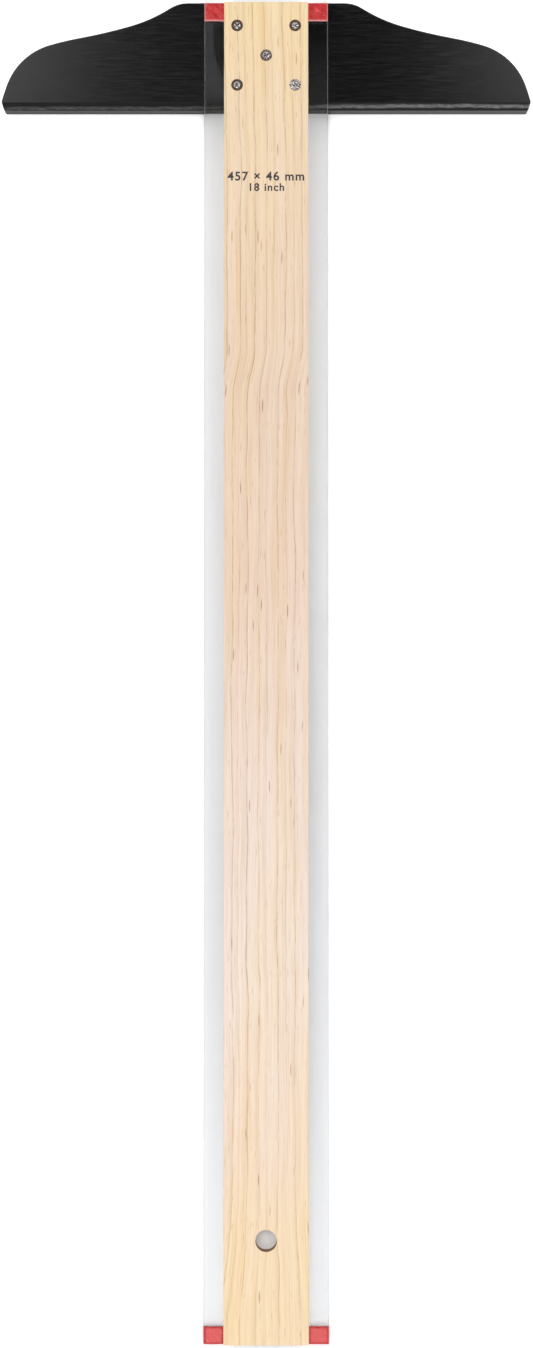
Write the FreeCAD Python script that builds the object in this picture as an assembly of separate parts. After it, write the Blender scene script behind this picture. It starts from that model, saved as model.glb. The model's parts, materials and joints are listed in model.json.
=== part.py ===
import FreeCAD, Part
import math
import os

# A drawing T-square with a fixed head. A shaped wooden head carries a wooden blade on its top
# face, held by five wood screws. Clear acrylic ruling strips sit in grooves along both sides of
# the blade, and a red plastic block closes each groove at each end.
#
# Frame: the origin lies on the head's guide face, on the blade's centre line, at the level of
# the head's underside. +X runs along the head, +Y from the guide face to the head's back, and
# +Z up. The blade reaches from the guide face towards -Y. All lengths are in millimetres.

# Head
HEAD_DEPTH = 39.5          # guide face to the flat of the back
HEAD_THICKNESS = 8.0
BACK_FLAT_HALF = 29.2      # half the straight stretch in the middle of the back
GUIDE_FACE_HALF = 98.3     # half the guide face, between the clipped corners
# The back's outline on one side, from the flat outwards: (radius, turn in degrees) of tangent
# arcs, a negative turn being clockwise. A small round shoulder, a long cove, the round end.
BACK_ARCS = (
    (12.7, -32.5),
    (57.0, 16.3),
    (196.0, 5.65),
    (119.0, -5.65),
    (24.1, -54.4),
    (113.0, -3.3),
)
BEVEL_WIDTH = 1.75         # the bevel above the guide face, seen from above
BEVEL_DROP = 3.6           # the same bevel, seen from the end
CORNER_EASE = 0.3          # small flat along the upright arrises of the clipped corners
BEVEL_ROUND = 0.25         # softened arrises above and below the bevel
OUTLINE_ROUND = 0.5        # rounding of the top arris along the back
UNDERSIDE_ROUND = 0.25     # rounding of the bottom arris along the back

# Blade
BLADE_REACH = 457.2        # guide face to tip: the nominal 18 in
BACK_SETBACK = 1.1         # the blade stops short of the head's back
CORE_WIDTH = 31.3
CORE_THICKNESS = 3.6
BLADE_WIDTH = 46.0         # over both ruling edges
STRIP_THICKNESS = 1.8
STRIP_TONGUE = 3.0         # how far a strip reaches into its groove
GLUE_GAP = 0.05            # glue line round a strip or block in its groove
CORE_EASE = 0.2            # eased long arrises of the core
STRIP_EASE = 0.25          # polished chamfer along a ruling edge
STRIP_CORNER = 0.5         # rounded outer corners of a strip, seen from above

# End blocks
HEAD_BLOCK_LENGTH = 6.8
TIP_BLOCK_LENGTH = 6.4
BLOCK_GAP = 0.08           # joint between a block and its strip
BLOCK_ROUND = 0.25         # rounded top arrises of a block

# Hanging hole
HOLE_RADIUS = 4.0
HOLE_FROM_TIP = 37.8

# Screws: No. 2 x 3/8 in countersunk wood screws with a cross recess
SCREW_SPREAD = 10.8        # outer screws, either side of the centre line
SCREW_ROW_FRONT = 7.3      # rows, measured from the guide face
SCREW_ROW_CENTRE = 18.4
SCREW_ROW_BACK = 29.6
SCREW_LENGTH = 9.5
SCREW_HEAD_RADIUS = 2.17
SCREW_RIM = 0.1            # upright rim of the countersunk head
COUNTERSINK_ANGLE = 82.0   # whole angle of the countersink
SHANK_RADIUS = 1.09
SHANK_END = 3.6            # length of head and plain shank together
ROOT_RADIUS = 0.8
THREAD_PITCH = 25.4 / 26
THREAD_LAND = 0.06         # width of the thread's crest
POINT_LENGTH = 1.3
RECESS_SPAN = 2.3          # the cross, tip to tip at the surface
RECESS_SLOT = 0.62         # width of an arm at the surface
RECESS_DEPTH = 1.15
RECESS_TAPER = 0.42        # size at the bottom as a share of the size at the surface
SCREW_CLEARANCE = 0.03     # radial space round a screw in the wood

# Worked-out levels and places
BLADE_UNDERSIDE = HEAD_THICKNESS
BLADE_TOP = HEAD_THICKNESS + CORE_THICKNESS
STRIP_UNDERSIDE = BLADE_UNDERSIDE + (CORE_THICKNESS - STRIP_THICKNESS) / 2
STRIP_TOP = STRIP_UNDERSIDE + STRIP_THICKNESS
BLADE_BACK = HEAD_DEPTH - BACK_SETBACK
CORE_HALF = CORE_WIDTH / 2
BLADE_HALF = BLADE_WIDTH / 2
TONGUE_EDGE = CORE_HALF - STRIP_TONGUE
HEAD_CONE = (SCREW_HEAD_RADIUS - SHANK_RADIUS) / math.tan(math.radians(COUNTERSINK_ANGLE / 2))

UP = FreeCAD.Vector(0, 0, 1)
ACROSS = FreeCAD.Vector(1, 0, 0)
BLADEWISE = FreeCAD.Vector(0, 1, 0)

# name: (x, y, turn of the cross recess in degrees)
SCREWS = {
    "screw_back_left": (-SCREW_SPREAD, SCREW_ROW_BACK, 45),
    "screw_back_right": (SCREW_SPREAD, SCREW_ROW_BACK, 52),
    "screw_centre": (0, SCREW_ROW_CENTRE, 28),
    "screw_front_left": (-SCREW_SPREAD, SCREW_ROW_FRONT, 36),
    "screw_front_right": (SCREW_SPREAD, SCREW_ROW_FRONT, 20),
}


def vec(x, y, z=0.0):
    return FreeCAD.Vector(x, y, z)


def slab(x_low, x_high, y_low, y_high, z_low, z_high):
    """A rectangular block between two corners."""
    return Part.makeBox(x_high - x_low, y_high - y_low, z_high - z_low, vec(x_low, y_low, z_low))


def beyond_core(point):
    """True for a point that stands out past the right side of the wooden core."""
    return point.x > CORE_HALF


def mirrored(shape):
    """The same shape on the other side of the blade's centre line."""
    return shape.mirror(vec(0, 0), vec(1, 0))


def edges_along(shape, direction, wanted):
    """Straight edges parallel to a direction whose middle point passes the test."""
    found = []
    for edge in shape.Edges:
        along = edge.tangentAt(edge.FirstParameter)
        if abs(along.dot(direction)) > 0.999 and wanted(edge.CenterOfMass):
            found.append(edge)
    return found


def tangent_arcs(start, arcs):
    """Arcs joined end to end. The first leaves start along +X, each next one leaves along
    the direction in which the last arrived."""
    edges = []
    point = start
    heading = 0.0
    for radius, turn in arcs:
        turn = math.radians(turn)
        offset = math.copysign(radius, turn)
        centre = point + vec(-math.sin(heading), math.cos(heading)) * offset
        stops = []
        for share in (0.5, 1.0):
            angle = heading + turn * share
            stops.append(centre + vec(math.sin(angle), -math.cos(angle)) * offset)
        edges.append(Part.Arc(point, stops[0], stops[1]).toShape())
        point = stops[1]
        heading += turn
    return edges, point


def head_outline():
    """The head seen from above."""
    half, end = tangent_arcs(vec(BACK_FLAT_HALF, HEAD_DEPTH), BACK_ARCS)
    half.append(Part.makeLine(end, vec(GUIDE_FACE_HALF, 0)))
    edges = half + [mirrored(edge) for edge in half]
    edges.append(Part.makeLine(vec(-BACK_FLAT_HALF, HEAD_DEPTH), vec(BACK_FLAT_HALF, HEAD_DEPTH)))
    edges.append(Part.makeLine(vec(-GUIDE_FACE_HALF, 0), vec(GUIDE_FACE_HALF, 0)))
    return Part.Face(Part.Wire(Part.__sortEdges__(edges)))


def bevelled_bar(half_length):
    """A bar with the head's section at the guide edge, longer and deeper than the head."""
    far = 2 * HEAD_DEPTH
    corners = [
        vec(-half_length, 0, 0),
        vec(-half_length, far, 0),
        vec(-half_length, far, HEAD_THICKNESS),
        vec(-half_length, BEVEL_WIDTH, HEAD_THICKNESS),
        vec(-half_length, 0, HEAD_THICKNESS - BEVEL_DROP),
    ]
    bar = Part.Face(Part.makePolygon(corners + corners[:1])).extrude(ACROSS * 2 * half_length)
    bevel = edges_along(bar, ACROSS, lambda middle: middle.y < far / 2 and middle.z > 1)
    return bar.makeFillet(BEVEL_ROUND, bevel)


def outline_edges(shape, level):
    """Edges of the outline at one level: all but the long one of the guide face."""
    found = []
    for edge in shape.Edges:
        box = edge.BoundBox
        flat = abs(box.ZMin - level) < 0.01 and abs(box.ZMax - level) < 0.01
        if flat and edge.CenterOfMass.y > 0.01:
            found.append(edge)
    return found


def screw_body(grow=0.0):
    """The turned form of a screw, its top at z = 0. grow widens it for the hole it needs."""
    outer = SHANK_RADIUS + grow
    profile = [
        vec(0, 0, 0),
        vec(SCREW_HEAD_RADIUS + grow, 0, 0),
        vec(SCREW_HEAD_RADIUS + grow, 0, -SCREW_RIM),
        vec(outer, 0, -SCREW_RIM - HEAD_CONE),
    ]
    if grow:
        profile.append(vec(outer, 0, POINT_LENGTH - SCREW_LENGTH - grow))
    else:
        profile.append(vec(outer, 0, -SHANK_END))
        profile.append(vec(ROOT_RADIUS, 0, -SHANK_END - (SHANK_RADIUS - ROOT_RADIUS)))
        profile.append(vec(ROOT_RADIUS, 0, POINT_LENGTH - SCREW_LENGTH))
    profile.append(vec(0, 0, -SCREW_LENGTH - grow))
    face = Part.Face(Part.makePolygon(profile + profile[:1]))
    return face.revolve(vec(0, 0), vec(0, 0, 1), 360)


def screw_thread():
    """A helical ridge from the point up to the plain shank."""
    bottom = POINT_LENGTH - SCREW_LENGTH
    height = -SHANK_END - bottom - THREAD_PITCH / 2
    path = Part.makeHelix(THREAD_PITCH, height, ROOT_RADIUS)
    inside = ROOT_RADIUS - 0.1
    foot = THREAD_PITCH * 0.3
    land = THREAD_LAND / 2
    corners = [
        vec(inside, 0, -foot),
        vec(SHANK_RADIUS, 0, -land),
        vec(SHANK_RADIUS, 0, land),
        vec(inside, 0, foot),
    ]
    profile = Part.makePolygon(corners + corners[:1])
    ridge = Part.Wire(path).makePipeShell([profile], True, True)
    ridge.translate(vec(0, 0, bottom + THREAD_PITCH * 0.25))
    return ridge


def cross_recess():
    """The tapered cross that a driver fits, open at z = 0."""
    arms = []
    for span, slot in ((RECESS_SPAN, RECESS_SLOT), (RECESS_SLOT, RECESS_SPAN)):
        rings = []
        for level, share in ((0.05, 1.0), (-RECESS_DEPTH, RECESS_TAPER)):
            x = span / 2 * share
            y = slot / 2 * share
            corners = [vec(-x, -y, level), vec(x, -y, level), vec(x, y, level), vec(-x, y, level)]
            rings.append(Part.makePolygon(corners + corners[:1]))
        arms.append(Part.makeLoft(rings, True, True))
    return arms[0].fuse(arms[1])


def make_screw(x, y, turn):
    """One wood screw driven flush with the blade's top."""
    screw = screw_body().fuse(screw_thread()).cut(cross_recess())
    screw = screw.removeSplitter()
    screw.rotate(vec(0, 0), vec(0, 0, 1), turn)
    screw.translate(vec(x, y, BLADE_TOP))
    return screw


def screw_holes():
    """The drilled and countersunk holes of all five screws."""
    holes = []
    for x, y, _ in SCREWS.values():
        hole = screw_body(SCREW_CLEARANCE)
        hole.translate(vec(x, y, BLADE_TOP))
        holes.append(hole)
    return holes


def make_head():
    """The shaped wooden head."""
    head = head_outline().extrude(UP * HEAD_THICKNESS)
    clipped = edges_along(head, UP, lambda middle: middle.y < 2 * BEVEL_WIDTH)
    head = head.makeChamfer(CORNER_EASE, clipped)
    head = head.makeFillet(OUTLINE_ROUND, outline_edges(head, HEAD_THICKNESS))
    head = head.makeFillet(UNDERSIDE_ROUND, outline_edges(head, 0))
    return head.common(bevelled_bar(2 * GUIDE_FACE_HALF)).cut(screw_holes())


def make_core():
    """The wooden blade with a groove along each side, the screw holes and the hanging hole."""
    core = slab(-CORE_HALF, CORE_HALF, -BLADE_REACH, BLADE_BACK, BLADE_UNDERSIDE, BLADE_TOP)
    core = core.makeChamfer(CORE_EASE, edges_along(core, BLADEWISE, lambda middle: True))
    groove = slab(
        TONGUE_EDGE - GLUE_GAP,
        CORE_HALF + 1,
        -BLADE_REACH - 1,
        BLADE_BACK + 1,
        STRIP_UNDERSIDE - GLUE_GAP,
        STRIP_TOP + GLUE_GAP,
    )
    hole_base = vec(0, HOLE_FROM_TIP - BLADE_REACH, BLADE_UNDERSIDE - 1)
    hole = Part.makeCylinder(HOLE_RADIUS, CORE_THICKNESS + 2, hole_base)
    return core.cut([groove, mirrored(groove), hole] + screw_holes())


def make_strip():
    """The right-hand ruling strip."""
    strip = slab(
        TONGUE_EDGE,
        BLADE_HALF,
        -BLADE_REACH + TIP_BLOCK_LENGTH + BLOCK_GAP,
        BLADE_BACK - HEAD_BLOCK_LENGTH - BLOCK_GAP,
        STRIP_UNDERSIDE,
        STRIP_TOP,
    )
    strip = strip.makeFillet(STRIP_CORNER, edges_along(strip, UP, beyond_core))
    return strip.makeChamfer(STRIP_EASE, edges_along(strip, BLADEWISE, beyond_core))


def make_block(y_low, y_high):
    """A right-hand end block between two places along the blade."""
    block = slab(TONGUE_EDGE, BLADE_HALF, y_low, y_high, STRIP_UNDERSIDE, STRIP_TOP)
    top = []
    for edge in block.Edges:
        middle = edge.CenterOfMass
        if abs(middle.z - STRIP_TOP) < 0.01 and middle.x > TONGUE_EDGE + 0.01:
            top.append(edge)
    return block.makeFillet(BLOCK_ROUND, top)


def save(name, shape):
    """Write one sub-part and say whether it is one good solid."""
    print(f"{name:24s} valid {shape.isValid()}  solids {len(shape.Solids)}  {shape.Volume:.1f} mm3")
    shape.exportStep(f"parts/{name}.step")


def main():
    os.makedirs("parts", exist_ok=True)
    save("head", make_head())
    save("blade_core", make_core())
    strip = make_strip()
    save("acrylic_edge_right", strip)
    save("acrylic_edge_left", mirrored(strip))
    ends = {
        "head": (BLADE_BACK - HEAD_BLOCK_LENGTH, BLADE_BACK),
        "tip": (-BLADE_REACH, TIP_BLOCK_LENGTH - BLADE_REACH),
    }
    for place, (y_low, y_high) in ends.items():
        block = make_block(y_low, y_high)
        save(f"end_block_{place}_right", block)
        save(f"end_block_{place}_left", mirrored(block))
    for name, (x, y, turn) in SCREWS.items():
        save(name, make_screw(x, y, turn))


main()
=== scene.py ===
import json
import math

import bpy
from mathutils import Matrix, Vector


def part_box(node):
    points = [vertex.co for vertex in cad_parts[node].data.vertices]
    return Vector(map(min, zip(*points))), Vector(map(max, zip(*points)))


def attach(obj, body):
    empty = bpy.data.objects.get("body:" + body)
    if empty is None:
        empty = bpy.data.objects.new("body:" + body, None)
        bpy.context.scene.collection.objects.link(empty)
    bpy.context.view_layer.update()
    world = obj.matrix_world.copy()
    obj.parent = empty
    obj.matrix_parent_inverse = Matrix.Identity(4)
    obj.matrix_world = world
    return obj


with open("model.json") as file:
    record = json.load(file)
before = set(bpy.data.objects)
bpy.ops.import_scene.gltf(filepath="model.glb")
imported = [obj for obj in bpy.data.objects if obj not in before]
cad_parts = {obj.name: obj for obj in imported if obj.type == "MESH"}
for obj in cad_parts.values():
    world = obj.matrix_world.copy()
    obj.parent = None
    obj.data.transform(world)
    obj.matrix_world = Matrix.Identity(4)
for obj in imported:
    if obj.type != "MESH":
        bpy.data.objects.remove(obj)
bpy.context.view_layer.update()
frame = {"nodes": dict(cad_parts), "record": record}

# The T-square lies in the row frame: the head along X, the blade towards -Y, +Z up.
# Lengths below are in millimetres unless a comment says otherwise. MM turns them into metres.
MM = 0.001

CORE_LOW, CORE_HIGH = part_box("blade_core")
_, STRIP_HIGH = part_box("acrylic_edge_right")
BLOCK_HEAD_LOW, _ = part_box("end_block_head_right")
BLOCK_TIP_LOW, BLOCK_TIP_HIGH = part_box("end_block_tip_right")

WOOD_EDGE = CORE_HIGH.x / MM             # half the width of the wood
RULING_EDGE = STRIP_HIGH.x / MM          # half the width of the blade
HEAD_JOINT = BLOCK_HEAD_LOW.y / MM       # where red meets clear on the head
TIP_LOW, TIP_HIGH = BLOCK_TIP_LOW.y / MM, BLOCK_TIP_HIGH.y / MM    # ends of the tip's blocks

# ---------------------------------------------------------------- node graphs


class Graph:
    """A small writer of shader node trees. Its methods return output sockets."""

    def __init__(self, tree):
        self.tree = tree
        self.tree.nodes.clear()

    def node(self, kind, inputs=(), **settings):
        made = self.tree.nodes.new(kind)
        for name, value in settings.items():
            setattr(made, name, value)
        for key, value in dict(inputs).items():
            self.plug(made.inputs[key], value)
        return made

    def plug(self, socket, value):
        if isinstance(value, bpy.types.NodeSocket):
            self.tree.links.new(value, socket)
        elif socket.type == "RGBA":
            socket.default_value = (*value, 1.0)
        else:
            socket.default_value = value

    def maths(self, operation, *values):
        return self.node("ShaderNodeMath", enumerate(values), operation=operation).outputs[0]

    def add(self, a, b):
        return self.maths("ADD", a, b)

    def minus(self, a, b):
        return self.maths("SUBTRACT", a, b)

    def times(self, a, b):
        return self.maths("MULTIPLY", a, b)

    def unsigned(self, a):
        return self.maths("ABSOLUTE", a)

    def step(self, value, start, end, low=0.0, high=1.0):
        """A smooth step from low at start to high at end."""
        inputs = {"Value": value, "From Min": start, "From Max": end, "To Min": low, "To Max": high}
        made = self.node("ShaderNodeMapRange", inputs, interpolation_type="SMOOTHSTEP")
        return made.outputs["Result"]

    def band(self, value, rise, fall):
        """1 between two smooth steps and 0 outside them. rise and fall: (start, end)."""
        return self.times(self.step(value, *rise), self.step(value, *fall))

    def step_line(self, value, start, end):
        """A straight rise from 0 at start to 1 at end."""
        inputs = {"Value": value, "From Min": start, "From Max": end}
        return self.node("ShaderNodeMapRange", inputs).outputs["Result"]

    def split(self, vector):
        """The X, Y and Z of a vector."""
        parts = self.node("ShaderNodeSeparateXYZ", {0: vector}).outputs
        return parts[0], parts[1], parts[2]

    def place(self):
        """X, Y and Z of the point in the row frame, in millimetres."""
        spot = self.node("ShaderNodeTexCoord").outputs["Object"]
        scaled = self.node("ShaderNodeVectorMath", {0: spot, "Scale": 1 / MM}, operation="SCALE")
        return self.split(scaled.outputs[0])

    def facing(self):
        """X, Y and Z of the way that the surface faces."""
        return self.split(self.node("ShaderNodeNewGeometry").outputs["Normal"])

    def stretched(self, spot, size, seed):
        """Coordinates for a texture whose features measure about size, in millimetres."""
        x, y, z = (self.times(place, 1 / length) for place, length in zip(spot, size))
        return self.node("ShaderNodeCombineXYZ", {0: self.add(x, seed), 1: y, 2: z}).outputs[0]

    def noise(self, spot, size, seed=0.0, detail=2.0, roughness=0.5):
        """Noise at a spot (x, y, z) whose features measure about size, in millimetres."""
        where = self.stretched(spot, size, seed)
        inputs = {"Vector": where, "Scale": 1.0, "Detail": detail, "Roughness": roughness}
        return self.node("ShaderNodeTexNoise", inputs).outputs[0]

    def noise_line(self, along, length, seed=0.0, detail=1.0):
        """Noise that changes along one coordinate only."""
        place = self.add(self.times(along, 1 / length), seed)
        inputs = {"W": place, "Scale": 1.0, "Detail": detail}
        return self.node("ShaderNodeTexNoise", inputs, noise_dimensions="1D").outputs[0]

    def swing(self, noise, amount):
        """Noise about 0.5 turned into a push of up to about half of amount either way."""
        return self.times(self.minus(noise, 0.5), amount)

    def mix(self, share, a, b, blend="MIX"):
        made = self.node("ShaderNodeMix", data_type="RGBA", blend_type=blend)
        for index, value in ((0, share), (6, a), (7, b)):
            self.plug(made.inputs[index], value)
        return made.outputs[2]

    def tint(self, share, colour, filter_colour):
        """The colour multiplied by a filter, in the given share."""
        return self.mix(share, colour, filter_colour, "MULTIPLY")

    def ramp(self, value, stops):
        """A colour or grey ramp. stops: (position, grey or (r, g, b))."""
        made = self.node("ShaderNodeValToRGB", {0: value})
        elements = made.color_ramp.elements
        while len(elements) < len(stops):
            elements.new(1.0)
        for element, (position, _) in zip(elements, stops):
            element.position = position
        for element, (_, colour) in zip(elements, stops):
            rgb = (colour,) * 3 if isinstance(colour, float) else colour
            element.color = (*rgb, 1.0)
        return made.outputs[0]

    def bump(self, height, depth, strength):
        """A normal from a height of 0 to 1 that stands for depth millimetres."""
        inputs = {"Height": height, "Distance": depth * MM, "Strength": strength}
        return self.node("ShaderNodeBump", inputs).outputs[0]

    def principled(self, **inputs):
        named = {}
        for name, value in inputs.items():
            named[name.replace("_", " ").title().replace("Ior", "IOR")] = value
        return self.node("ShaderNodeBsdfPrincipled", named).outputs[0]

    def mix_shaders(self, share, a, b):
        return self.node("ShaderNodeMixShader", {0: share, 1: a, 2: b}).outputs[0]

    def surface(self, shader):
        self.node("ShaderNodeOutputMaterial", {"Surface": shader})


def material(name, build):
    made = bpy.data.materials.new(name)
    made.use_nodes = True
    build(Graph(made.node_tree))
    return made


def srgb(red, green, blue):
    """A colour given as 0 to 255 screen values, as the linear values that shaders take."""
    linear = []
    for value in (red, green, blue):
        share = value / 255
        linear.append(share / 12.92 if share <= 0.04045 else ((share + 0.055) / 1.055) ** 2.4)
    return tuple(linear)


# ---------------------------------------------------------------- pine

# Growth lines: (place across the blade, depth of colour)
GROWTH_LINES = (
    (-15.2, 0.6),
    (-11.4, 0.9),
    (-6.5, 1.0),
    (-4.3, 0.45),
    (-1.1, 1.0),
    (3.2, 0.75),
    (6.0, 0.45),
    (10.2, 0.95),
    (13.2, 0.55),
    (16.4, 0.8),
)
GROWTH_SPAN = 20.0               # the ramp of growth lines runs from -20 to +20 mm

# Places along the blade where the grain changes, as (start, end) of the change
SIDE_STEP = (-108.0, -91.0)      # below the printed mark the grain steps sideways,
SIDE_STEP_WIDTH = 2.4            # by this much
FAN = (-402.0, -452.0)           # beyond the hanging hole it fans out,
FAN_SHARE = 0.24                 # by this share of the distance from the middle
PAST_HEAD = (-70.0, -140.0)      # the lines turn redder here
NEAR_TIP = (-330.0, -400.0)      # and paler here
HOLE_REACH = (6.0, 5.0)          # upright faces nearer the middle than this are a hole's wall

# Colour from the tip (0) to the back of the head (1), with the lines left out
PINE_ALONG = (
    (0.0, srgb(230, 208, 175)),
    (0.08, srgb(229, 208, 178)),
    (0.13, srgb(227, 207, 188)),
    (0.26, srgb(226, 211, 200)),
    (0.42, srgb(222, 205, 193)),
    (0.57, srgb(218, 197, 181)),
    (0.72, srgb(217, 196, 176)),
    (0.9, srgb(221, 200, 174)),
    (1.0, srgb(223, 201, 163)),
)

# What each marking multiplies the colour by
BROAD_FILTER = (1.0, 0.98, 0.9)
BAND_FILTER = (0.965, 0.935, 0.9)
FIBRE_FILTER = (0.9, 0.865, 0.83)
PORE_FILTER = (0.8, 0.72, 0.64)
SHADE_FILTER = (0.93, 0.89, 0.84)
LINE_AT_HEAD = (0.66, 0.56, 0.42)
LINE_ALONG = (0.7, 0.54, 0.46)
LINE_AT_TIP = (0.82, 0.72, 0.52)
DUCT_FILTER = (0.6, 0.46, 0.38)
END_FILTER = (0.72, 0.62, 0.5)
# the walls of holes: end grain deepened by painted shade
HOLE_GRAIN_AND_SHADE = (0.42, 0.32, 0.28)


def growth_ramp(g, across, before, after):
    """A ramp over the growth lines. Each rises over the millimetres before its place and falls
    over those after it."""
    stops = [(0.0, 0.0)]
    for place, depth in GROWTH_LINES:
        for offset, share in ((-before, 0.0), (0.0, 1.0), (after, 0.0)):
            stops.append(((place + offset) / (2 * GROWTH_SPAN) + 0.5, depth * share))
    stops.append((1.0, 0.0))
    return g.ramp(g.step_line(across, -GROWTH_SPAN, GROWTH_SPAN), stops)


def pine(g):
    """Pale quarter-cut pine with its grain along the blade."""
    x, y, z = spot = g.place()
    # the grain leans and wanders
    side_step = g.step(y, *SIDE_STEP, SIDE_STEP_WIDTH, 0.0)
    lean = g.swing(g.noise_line(y, 130), 3.0)
    wander = g.swing(g.noise(spot, (8, 26, 9), detail=1.0), 1.7)
    shiver = g.swing(g.noise(spot, (3, 7, 9), seed=30.0, detail=1.0), 0.35)
    fan = g.times(g.times(x, FAN_SHARE), g.step(y, *FAN))
    across = g.add(g.add(x, g.times(z, 0.3)), g.add(g.add(side_step, lean), wander))
    across = g.minus(g.add(across, shiver), fan)
    grain_spot = (across, y, z)
    # growth lines: a soft shade that ends in a thin line, both broken along the grain
    shade = growth_ramp(g, across, 1.7, 0.3)
    shade = g.times(shade, g.step(g.noise(grain_spot, (4, 50, 9), seed=3.0), 0.3, 0.6))
    line = growth_ramp(g, across, 0.26, 0.26)
    broken = g.noise(grain_spot, (2.5, 9, 9), seed=23.0, detail=3.0, roughness=0.6)
    line = g.times(line, g.step(broken, 0.36, 0.58, 0.22, 1.0))
    line_filter = g.mix(g.step(y, *PAST_HEAD), LINE_AT_HEAD, LINE_ALONG)
    line_filter = g.mix(g.step(y, *NEAR_TIP), line_filter, LINE_AT_TIP)
    # thin fibres, dark pores a few millimetres long, and wide bands
    fibre = g.noise(grain_spot, (0.42, 24, 3), seed=7.0, detail=3.0, roughness=0.7)
    pores = g.noise(grain_spot, (0.36, 6.5, 3), seed=13.0, detail=1.0)
    bands = g.noise(grain_spot, (1.6, 80, 6), seed=17.0, detail=1.0)
    broad = g.noise(grain_spot, (5, 110, 9), seed=11.0)
    # short dark resin ducts along the grain, in some of the cells
    where = g.stretched(grain_spot, (1.5, 19, 9), seed=1.0)
    cells = g.node("ShaderNodeTexVoronoi", {"Vector": where, "Scale": 1.0}).outputs
    pick = g.node("ShaderNodeSeparateColor", {0: cells["Color"]}).outputs[0]
    duct = g.times(g.step(cells["Distance"], 0.07, 0.18, 1.0, 0.0), g.step(pick, 0.55, 0.75))
    # end grain is darker, and the walls of holes darker still: their end grain deepened by painted
    # shade
    _, to_end, to_top = g.facing()
    upright = g.step(g.unsigned(to_top), 0.4, 0.2)
    end = g.times(upright, g.step(g.unsigned(to_end), 0.3, 0.7))
    in_hole = g.times(upright, g.step(g.unsigned(x), *HOLE_REACH))
    markings = (
        (g.step(broad, 0.38, 0.62), BROAD_FILTER),
        (g.step(bands, 0.42, 0.68), BAND_FILTER),
        (g.step(fibre, 0.4, 0.75), FIBRE_FILTER),
        (g.step(pores, 0.66, 0.78), PORE_FILTER),
        (shade, SHADE_FILTER),
        (line, line_filter),
        (duct, DUCT_FILTER),
        (end, END_FILTER),
        (in_hole, HOLE_GRAIN_AND_SHADE),
    )
    colour = g.ramp(g.step_line(y, CORE_LOW.y / MM, CORE_HIGH.y / MM), PINE_ALONG)
    for share, filter_colour in markings:
        colour = g.tint(share, colour, filter_colour)
    relief = g.add(g.times(fibre, 0.6), g.times(line, 0.4))
    g.surface(
        g.principled(
            base_color=colour,
            roughness=g.step(fibre, 0.3, 0.7, 0.5, 0.62),
            specular_ior_level=0.35,
            normal=g.bump(relief, depth=0.03, strength=0.6),
        )
    )


# ---------------------------------------------------------------- black lacquered wood

STAIN = (0.0002, 0.0002, 0.0003)
PALE_GRAIN = (0.006, 0.0059, 0.0058)
PALE_PORE = (0.013, 0.0128, 0.0125)
# painted highlight on the bevel
PAINTED_BEVEL_HIGHLIGHT = (0.15, 0.148, 0.146)
# painted shade lines on the bevel
PAINTED_BEVEL_SHADE = (0.0005, 0.0005, 0.0005)

# Heights on the bevel over which the painted highlight streak and the painted shade lines beside it
# come and go
STREAK = ((5.2, 6.1), (7.7, 6.6))
DARK_BELOW = ((4.5, 4.9), (5.7, 5.3))
DARK_ABOVE = ((7.3, 7.6), (8.2, 7.9))
LOWER_ON_LEFT = 1.0              # how far all of them drop to the left of the blade
WEAK_STREAK = 0.38               # strength of the streak there
LACQUER_GLOSS = 0.37
FRONT_LOSS = (-0.24, -0.28)      # added to the gloss of the front faces, on the right and left


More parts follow.
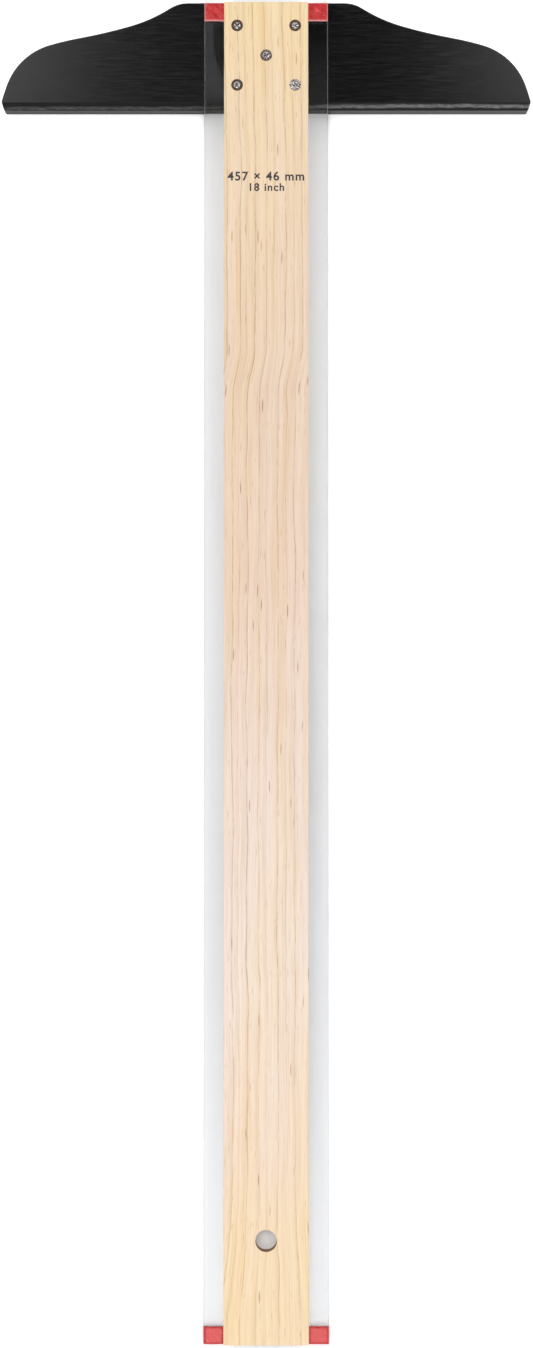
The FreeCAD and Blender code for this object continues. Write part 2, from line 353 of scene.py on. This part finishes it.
def black_wood(g):
    """Wood stained black under satin lacquer, with its grain along the head."""
    x, y, z = spot = g.place()
    sway = g.swing(g.noise(spot, (40, 9, 9), detail=1.0), 1.5)
    depth = g.add(g.add(y, g.times(z, 0.8)), sway)
    grain_spot = (x, depth, z)
    grain = g.noise(grain_spot, (9, 0.6, 2.5), detail=3.0, roughness=0.65)
    pores = g.noise(grain_spot, (4, 0.35, 0.6), seed=5.0, roughness=0.7)
    cloud = g.noise(spot, (16, 7, 12), seed=2.0, detail=3.0)
    patches = g.times(g.step(grain, 0.42, 0.7), g.step(cloud, 0.42, 0.62, 0.15, 1.0))
    colour = g.mix(patches, STAIN, PALE_GRAIN)
    colour = g.mix(g.step(pores, 0.5, 0.72, 0.0, 0.35), colour, PALE_PORE)
    # On the bevel a painted highlight: a pale wavy streak, broken by flecks like grain catching the
    # light, with painted shade lines beside it. The painted highlight is strong on the right and
    # weak on the left, where it runs lower.
    _, to_front, to_top = g.facing()
    front = g.step(to_front, -0.4, -0.6)
    bevel = g.times(front, g.step(to_top, 0.1, 0.3))
    to_left = g.step(x, 30.0, 5.0)
    wave = g.swing(g.noise_line(x, 9, detail=3.0), 1.1)
    wave = g.add(wave, g.swing(g.noise_line(x, 45, seed=4.0), 1.2))
    level = g.add(g.add(z, wave), g.times(to_left, LOWER_ON_LEFT))
    flecks = g.noise(grain_spot, (3, 0.4, 0.4), seed=8.0, roughness=0.7)
    streak = g.times(g.band(level, *STREAK), g.step(to_left, 0.0, 1.0, 1.0, WEAK_STREAK))
    streak = g.times(streak, g.step(flecks, 0.35, 0.65, 0.3, 1.2))
    colour = g.mix(g.times(bevel, streak), colour, PAINTED_BEVEL_HIGHLIGHT)
    # painted shade lines beside the painted highlight
    dark_line = g.add(g.band(level, *DARK_BELOW), g.times(g.band(level, *DARK_ABOVE), to_left))
    dark_line = g.times(bevel, dark_line)
    colour = g.mix(g.times(dark_line, 0.3), colour, PAINTED_BEVEL_SHADE)
    gloss = g.add(g.times(front, g.step(to_left, 0.0, 1.0, *FRONT_LOSS)), LACQUER_GLOSS)
    relief = g.add(g.times(grain, 0.7), g.times(pores, 0.3))
    g.surface(
        g.principled(
            base_color=colour,
            roughness=g.add(g.step(grain, 0.3, 0.7, 0.13, 0.18), g.times(front, 0.1)),
            specular_ior_level=g.times(gloss, g.step(dark_line, 0.0, 1.0, 1.0, 0.88)),
            normal=g.bump(relief, depth=0.01, strength=0.5),
        )
    )


# ---------------------------------------------------------------- plastics, steel and ink

ACRYLIC_TINT = (0.89, 0.9, 0.91)
ACRYLIC_SHADOW = (0.9, 0.908, 0.916)     # what the light keeps on its way through
ACRYLIC_INDEX = 1.49
SOFT_ARRIS = (RULING_EDGE - 0.35, RULING_EDGE - 0.2)
ARRIS_ROUGHNESS = 0.35


def acrylic(g):
    """Clear polished acrylic that lets lamps through to what lies under it. Its outer arris is
    rubbed dull."""
    spot = g.place()
    waves = g.noise(spot, (12, 60, 12), detail=1.0)
    handling = g.step(g.noise(spot, (3, 5, 3)), 0.3, 0.8, 0.0, 0.03)
    arris = g.step(g.unsigned(spot[0]), *SOFT_ARRIS, 0.0, ARRIS_ROUGHNESS)
    glass = g.principled(
        base_color=ACRYLIC_TINT,
        roughness=g.add(handling, arris),
        ior=ACRYLIC_INDEX,
        transmission_weight=1.0,
        normal=g.bump(waves, depth=0.01, strength=0.15),
    )
    clear = g.node("ShaderNodeBsdfTransparent", {"Color": ACRYLIC_SHADOW}).outputs[0]
    shadow = g.node("ShaderNodeLightPath").outputs["Is Shadow Ray"]
    g.surface(g.mix_shaders(shadow, glass, clear))


RED_DEEP, RED_BRIGHT = srgb(172, 27, 31), srgb(202, 48, 50)
# painted glow: lighter reds for the table's light coming through the tip's blocks
RED_TIP_GLOW = srgb(200, 70, 70)
RED_TABLE_GLOW = srgb(224, 92, 92)
RED_SCUFF = srgb(240, 150, 146)
# painted highlights on the arrises of the head's blocks
RED_JOINT_HIGHLIGHT = srgb(250, 190, 188)
RED_RIM_HIGHLIGHT = srgb(196, 176, 176)
RED_THROUGH = srgb(244, 110, 106)        # light that comes through the plastic
# the painted glow sets in over TIP_BLEND and rises inward over EDGE_DEPTH
TIP_BLEND = (-380.0, -440.0)             # from the look of the head's blocks to the tip's
EDGE_DEPTH = (0.3, 1.1)                  # a tip block pales between these depths from an edge
OUTER_INSET = 0.2                        # and this much deeper from its outer edge


def red_plastic(g):
    """Slightly translucent red plastic with a scuffed, uneven face. Its colour carries a painted
    glow at the tip, standing for the table's light showing through, and the head's blocks end in an
    arris with a painted highlight."""
    x, y, z = spot = g.place()
    cloud = g.noise(spot, (2.0, 2.0, 2.0), detail=3.0, roughness=0.6)
    lean = g.add(x, g.times(y, 0.8))
    scuffs = g.noise((lean, y, z), (1.3, 2.6, 1.0), seed=9.0, detail=3.0, roughness=0.7)
    colour = g.mix(g.step(cloud, 0.35, 0.65), RED_DEEP, RED_BRIGHT)
    colour = g.mix(g.step(y, *TIP_BLEND, 0.0, 0.1), colour, RED_TIP_GLOW)
    # the painted glow fills the middle of a tip block; towards its edges the plastic stays deeper
    # red
    aside = g.unsigned(x)
    outer = RULING_EDGE - OUTER_INSET
    inside = 1.0
    edges = ((aside, outer, -1), (aside, WOOD_EDGE, 1), (y, TIP_LOW, 1), (y, TIP_HIGH, -1))
    for place, edge, inward in edges:
        start, end = (edge + inward * depth for depth in EDGE_DEPTH)
        inside = g.times(inside, g.step(place, start, end))
    colour = g.mix(g.times(inside, 0.85), colour, RED_TABLE_GLOW)
    colour = g.mix(g.step(scuffs, 0.55, 0.8, 0.0, 0.5), colour, RED_SCUFF)
    # the head's blocks: a painted highlight on the arris where they meet the clear strips, and a
    # pale grey painted highlight on the outer rim
    joint_highlight = g.band(g.minus(y, HEAD_JOINT), (-0.5, 0.0), (0.65, 0.3))
    colour = g.mix(g.times(joint_highlight, 0.55), colour, RED_JOINT_HIGHLIGHT)
    rim = g.step(aside, RULING_EDGE - 0.45, RULING_EDGE - 0.25)
    rim = g.times(rim, g.step(y, TIP_BLEND[0], 0.0))
    colour = g.mix(g.times(rim, 0.5), colour, RED_RIM_HIGHLIGHT)
    solid = g.principled(
        base_color=colour,
        roughness=g.step(scuffs, 0.4, 0.8, 0.22, 0.42),
        specular_ior_level=0.5,
        normal=g.bump(cloud, depth=0.03, strength=0.5),
    )
    through = g.node("ShaderNodeBsdfTranslucent", {"Color": RED_THROUGH}).outputs[0]
    g.surface(g.mix_shaders(0.2, solid, through))


STEEL_DARK, STEEL_BRIGHT = srgb(84, 72, 64), srgb(255, 252, 250)
STEEL_RIM = srgb(62, 44, 26)
RIM_STARTS = (1.1, 1.35)                 # distance from a screw's axis where its rim darkens


def screw_steel(centre, rim_share):
    """Antique nickel on one screw: dark brown on the rim, rubbed bright round its recess."""

    def build(g):
        x, y, _ = spot = g.place()
        from_x = g.minus(x, centre.x / MM)
        from_y = g.minus(y, centre.y / MM)
        radius = g.maths("SQRT", g.add(g.times(from_x, from_x), g.times(from_y, from_y)))
        mottle = g.noise(spot, (0.55, 0.55, 0.55), roughness=0.6)
        rim = g.step(g.add(radius, g.swing(mottle, 0.9)), *RIM_STARTS, 0.0, rim_share)
        colour = g.mix(g.step(mottle, 0.44, 0.58), STEEL_DARK, STEEL_BRIGHT)
        colour = g.mix(rim, colour, STEEL_RIM)
        g.surface(
            g.principled(
                base_color=colour,
                metallic=g.times(g.minus(1.0, rim), 0.6),
                roughness=g.add(g.step(mottle, 0.3, 0.7, 0.25, 0.4), g.times(rim, 0.25)),
                specular_ior_level=0.1,
                normal=g.bump(mottle, depth=0.12, strength=0.7),
            )
        )

    return build


INK, THIN_INK = srgb(46, 46, 54), srgb(100, 94, 94)


def printed_ink(g):
    """Dark grey ink, a little thin where the grain let it sink."""
    thin = g.noise(g.place(), (0.25, 1.2, 1.0), detail=3.0)
    colour = g.mix(g.step(thin, 0.45, 0.8), INK, THIN_INK)
    g.surface(g.principled(base_color=colour, roughness=0.6, specular_ior_level=0.3))


MATERIALS = {
    "head_wood": material("black_lacquered_wood", black_wood),
    "blade_wood": material("pine", pine),
    "clear_acrylic": material("clear_acrylic", acrylic),
    "red_plastic": material("red_plastic", red_plastic),
    "printed_ink": material("printed_ink", printed_ink),
}

BROWN_RIM = 0.95                 # how much of a screw's rim is brown
WORN_RIMS = {"screw_front_right": 0.4, "screw_centre": 0.8}


def dress_frame():
    """Give every CAD node the material of its slot in the record."""
    for entry in frame["record"]["subparts"]:
        name = entry["node"]
        if entry["material_slot"] == "screw_steel":
            low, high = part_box(name)
            finish = screw_steel((low + high) / 2, WORN_RIMS.get(name, BROWN_RIM))
            chosen = material(name, finish)
        else:
            chosen = MATERIALS[entry["material_slot"]]
        for slot in frame["nodes"][name].material_slots:
            slot.material = chosen


# ---------------------------------------------------------------- printed size mark

MARK_TOP = -25.2                 # upper edge of the first line, from the guide face
# words, letter height, drop below MARK_TOP, extra boldness
MARK_LINES = (("457 \u00d7 46 mm", 3.2, 0.0, 0.1), ("18 inch", 2.8, 4.3, 0.09))
CAPITAL_SHARE = 0.7              # height of a capital in the typeface, as a share of its size
LETTER_SPACING = 1.16
INK_RISE = 0.02                  # the ink stands this far off the wood


def make_mark_line(words, height, drop, bold):
    curve = bpy.data.curves.new("mark_line", "FONT")
    curve.body = words
    curve.align_x = "CENTER"
    curve.size = height * MM / CAPITAL_SHARE
    curve.space_character = LETTER_SPACING
    curve.offset = bold * MM
    curve.extrude = INK_RISE / 2 * MM
    line = bpy.data.objects.new("mark_line", curve)
    line.location = (0, (MARK_TOP - height - drop) * MM, CORE_HIGH.z + INK_RISE / 2 * MM)
    bpy.context.scene.collection.objects.link(line)
    return line


def make_mark():
    """The blade's nominal length and width, printed on the wood in two lines."""
    lines = [make_mark_line(*settings) for settings in MARK_LINES]
    bpy.context.view_layer.update()
    points, faces = [], []
    for line in lines:
        depsgraph = bpy.context.evaluated_depsgraph_get()
        shape = bpy.data.meshes.new_from_object(line.evaluated_get(depsgraph))
        start = len(points)
        points += [line.matrix_world @ vertex.co for vertex in shape.vertices]
        faces += [[start + index for index in face.vertices] for face in shape.polygons]
        bpy.data.objects.remove(line)
    mesh = bpy.data.meshes.new("size_mark")
    mesh.from_pydata([tuple(point) for point in points], [], faces)
    mesh.materials.append(MATERIALS["printed_ink"])
    mark = bpy.data.objects.new("size_mark", mesh)
    bpy.context.scene.collection.objects.link(mark)
    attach(mark, "root")


# ---------------------------------------------------------------- studio

CAMERA_SPOT = (0.00013, -0.2283, 0.700)  # metres
CAMERA_PITCH = 1.38                      # degrees towards the head
SENSOR_HEIGHT = 36
CAMERA_LENS = 49.86
CLIP_START = 0.01                        # metres


def make_camera():
    lens = bpy.data.cameras.new("camera")
    lens.sensor_fit = "VERTICAL"
    lens.sensor_height = SENSOR_HEIGHT
    lens.lens = CAMERA_LENS
    lens.clip_start = CLIP_START
    camera = bpy.data.objects.new("camera", lens)
    camera.location = CAMERA_SPOT
    camera.rotation_euler = (math.radians(CAMERA_PITCH), 0, 0)
    bpy.context.scene.collection.objects.link(camera)
    bpy.context.scene.camera = camera


FLOOR_HALF = 20.0                        # metres
FLOOR_GAP = 0.00002                      # metres below the points that rest on it
GLOW_REACH = 28.0
# Painted glow of the table, which lifts the shade near the T-square, from the blade's middle line
# (0) to GLOW_REACH (1)
GLOW_ASIDE = (
    (0.0, 0.0),
    (0.4, 0.0),
    (0.56, 0.18),
    (0.62, 0.13),
    (0.72, 0.065),
    (0.82, 0.02),
    (0.9, 0.4),
)


def pale_floor(g):
    """A plain pale table top with a painted glow that lifts the shade round the T-square: full
    beside the blade, faint under its strips and none under its wood."""
    spot = g.place()
    tooth = g.noise(spot, (60, 60, 60))
    g.surface(
        g.principled(
            base_color=g.mix(tooth, srgb(246, 246, 247), srgb(250, 250, 250)),
            roughness=0.85,
            specular_ior_level=0.2,
            emission_color=(1.0, 1.0, 1.0),
            emission_strength=g.ramp(
                g.step_line(g.unsigned(spot[0]), 0.0, GLOW_REACH), GLOW_ASIDE
            ),
        )
    )


def make_floor():
    """The table. The T-square rests on the head's lower front arris and the blade's tip, so
    the table's plane passes just under both."""
    slope = CORE_LOW.z / CORE_LOW.y
    corners = []
    for x, y in ((-1, -1), (1, -1), (1, 1), (-1, 1)):
        corners.append((x * FLOOR_HALF, y * FLOOR_HALF, y * FLOOR_HALF * slope - FLOOR_GAP))
    mesh = bpy.data.meshes.new("floor")
    mesh.from_pydata(corners, [], [(0, 1, 2, 3)])
    mesh.materials.append(material("pale_floor", pale_floor))
    floor = bpy.data.objects.new("floor", mesh)
    bpy.context.scene.collection.objects.link(floor)


# The surroundings. Places in them are parts of a unit direction in the row frame, so x = -0.02
# is overhead and a little to the left, and y = 0.3 overhead and towards the head. A pair of
# places is where a change starts and ends, and a longer row holds (place, brightness).
SKY_STRENGTH = 2.04
AROUND = ((0.0, 0.33), (0.1, 0.36), (0.6, 0.67), (1.0, 0.67))    # from the horizon up
MIDDLE_UP, MIDDLE_ASIDE = (0.6, 0.85), (0.5, 0.35)               # what counts as overhead
MIDDLE_SHIFT = -0.005            # the overhead part is centred on x = 0.005
HEAD_START = (0.27, 0.33)        # from what the blade mirrors to what the head mirrors

OVER_HEAD = ((0.0, 0.0), (0.08, 0.0), (0.1, 0.25), (0.135, 1.72), (0.22, 1.8), (0.45, 0.5))
LEFT_START, LEFT_END = (-0.012, -0.015), (-0.042, -0.036)
LEFT_FRONT = (0.312, 0.321)
LEFT_GLOW = 0.06
LEFT_CARD = 0.175
LEFT_CARD_START = (-0.0266, -0.0272)
CURVE_START, CURVE = 0.345, 14.0         # the card's edge curves in from this Y forward
RIGHT_START, RIGHT_END = (0.012, 0.015), (0.034, 0.031)
RIGHT_BACK = (0.352, 0.322)
RIGHT_GLOW = 0.08

BLADE_SPAN = (-0.35, 0.35)
OVER_BLADE = ((0.0, 0.35), (0.4, 0.13), (0.8, 0.12), (1.0, 0.02))
TIP_SPAN = (0.0, -0.35)
TIP_CARD = ((0.0, 0.05), (0.4, 0.16), (0.9, 0.9), (1.0, 0.9))
TIP_CARD_ASIDE = (0.07, 0.045)
BOOM_START, BOOM_END = (-0.06, -0.04), (0.062, 0.056)
BOOM_LEFT = (-0.02, -0.01)
BOOM_SHADE = 0.2                 # share of the light that the dark boom leaves
LEFT_LIFT_START = (-0.01, -0.02)
LEFT_LIFT = 0.2


def sky_over_head(g, x, y, aside):
    """What the head mirrors: dark in the middle and bright cards to the left and right. Fainter
    lights near the middle show only in the strips."""
    sky = g.ramp(aside, OVER_HEAD)
    # on the left a card whose edge curves in towards the blade as it comes forward
    forward = g.maths("MAXIMUM", g.minus(CURVE_START, y), 0.0)
    edge = g.minus(x, g.times(g.times(forward, forward), CURVE))
    left_card = g.times(g.step(edge, *LEFT_CARD_START), g.step(x, *LEFT_END))
    left_glow = g.band(x, LEFT_START, LEFT_END)
    left = g.add(g.times(left_card, LEFT_CARD), g.times(left_glow, LEFT_GLOW))
    sky = g.add(sky, g.times(left, g.step(y, *LEFT_FRONT)))
    # on the right a faint glow that fades out towards the back
    right = g.times(g.band(x, RIGHT_START, RIGHT_END), g.step(y, *RIGHT_BACK, 0.0, RIGHT_GLOW))
    return g.add(sky, right)


def sky_over_blade(g, x, y, aside):
    """What the strips mirror: brighter towards the tip and to the left, with the dark boom of
    the studio across the middle and right."""
    tip_card = g.ramp(g.step_line(y, *TIP_SPAN), TIP_CARD)
    tip_card = g.times(tip_card, g.step(aside, *TIP_CARD_ASIDE))
    sky = g.add(g.ramp(g.step_line(y, *BLADE_SPAN), OVER_BLADE), tip_card)
    boom = g.times(g.band(y, BOOM_START, BOOM_END), g.step(x, *BOOM_LEFT))
    sky = g.times(sky, g.step(boom, 0.0, 1.0, 1.0, BOOM_SHADE))
    return g.add(sky, g.times(g.step(x, *LEFT_LIFT_START), LEFT_LIFT))


def make_world():
    """Soft white surroundings. Straight overhead they are darker, so the black head looks deep
    in the middle, and what the acrylic mirrors changes along the blade."""
    world = bpy.data.worlds.new("studio")
    world.use_nodes = True
    bpy.context.scene.world = world
    g = Graph(world.node_tree)
    x, y, z = g.split(g.node("ShaderNodeTexCoord").outputs["Generated"])
    aside = g.unsigned(g.add(x, MIDDLE_SHIFT))
    over_blade = sky_over_blade(g, x, y, aside)
    over_head = sky_over_head(g, x, y, aside)
    overhead = g.mix(g.step(y, *HEAD_START), over_blade, over_head)
    near_middle = g.times(g.step(z, *MIDDLE_UP), g.step(aside, *MIDDLE_ASIDE))
    level = g.mix(near_middle, g.ramp(z, AROUND), overhead)
    sky = g.node("ShaderNodeBackground", {"Color": level, "Strength": SKY_STRENGTH})
    g.node("ShaderNodeOutputWorld", {"Surface": sky.outputs[0]})


KEY_SPOT, KEY_TARGET = (-0.45, 0.1, 1.2), (0, -0.2, 0)   # metres
KEY_SIZE = (0.4, 0.8)                                     # metres
KEY_WATTS = 1.5


def make_light(name, spot, target, size, watts):
    """A soft lamp that lights the scene but isn't seen in or through what it lights."""
    light = bpy.data.lights.new(name, "AREA")
    light.shape = "RECTANGLE"
    light.size, light.size_y = size
    light.energy = watts
    lamp = bpy.data.objects.new(name, light)
    lamp.visible_glossy = False
    lamp.visible_transmission = False
    lamp.location = spot
    lamp.rotation_euler = (Vector(target) - Vector(spot)).to_track_quat("-Z", "Y").to_euler()
    bpy.context.scene.collection.objects.link(lamp)


def main():
    make_camera()
    make_floor()
    make_world()
    make_light("key_light", KEY_SPOT, KEY_TARGET, KEY_SIZE, KEY_WATTS)
    dress_frame()
    make_mark()
    bpy.context.scene.view_settings.view_transform = "Standard"


main()
